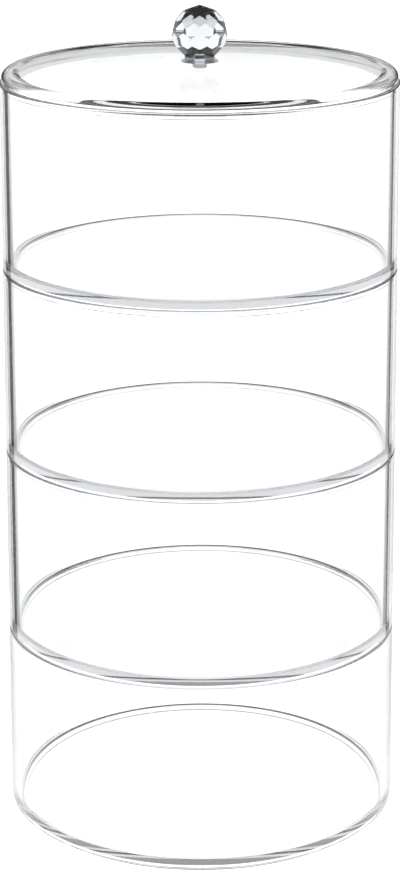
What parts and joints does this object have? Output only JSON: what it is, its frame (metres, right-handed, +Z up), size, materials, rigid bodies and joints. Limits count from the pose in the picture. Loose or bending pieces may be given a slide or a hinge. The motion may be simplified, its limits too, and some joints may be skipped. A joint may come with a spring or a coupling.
{
  "type": "stackable jewelry organizer",
  "caption": "Round clear acrylic organizer: same-size open trays nest rim to rim in a stack, closed by a lift-off lid with a faceted crystal-look ball knob on a clear collar.",
  "frame": {"origin": "on the axis of the stack, at the surface it stands on (the foot of the ring under the bottom tray)", "axes": "+Z up along the axis of the stack; the object is round, so +X and +Y are only set by the knob's facets, +Y pointing away from the picture's viewer"},
  "size_m": [0.14, 0.14, 0.2925],
  "materials": {
    "clear_acrylic": "clear polished",
    "clear_knob": "clear polished, facet cut"
  },
  "bodies": {
    "bottom": {"bottom_tray": "clear_acrylic"},
    "lower_middle": {"lower_middle_tray": "clear_acrylic"},
    "upper_middle": {"upper_middle_tray": "clear_acrylic"},
    "top": {"top_tray": "clear_acrylic"},
    "lid": {"lid": "clear_acrylic", "knob_stem": "clear_knob", "knob_collar": "clear_knob", "knob_crystal": "clear_knob"}
  },
  "joints": [
    {"name": "lower_middle_lift", "type": "slide", "parent": "bottom", "child": "lower_middle", "axis": [0, 0, 1], "range_m": [0, 0.08]},
    {"name": "upper_middle_lift", "type": "slide", "parent": "lower_middle", "child": "upper_middle", "axis": [0, 0, 1], "range_m": [0, 0.08]},
    {"name": "top_lift", "type": "slide", "parent": "upper_middle", "child": "top", "axis": [0, 0, 1], "range_m": [0, 0.08]},
    {"name": "lid_lift", "type": "slide", "parent": "top", "child": "lid", "axis": [0, 0, 1], "range_m": [0, 0.08]}
  ]
}
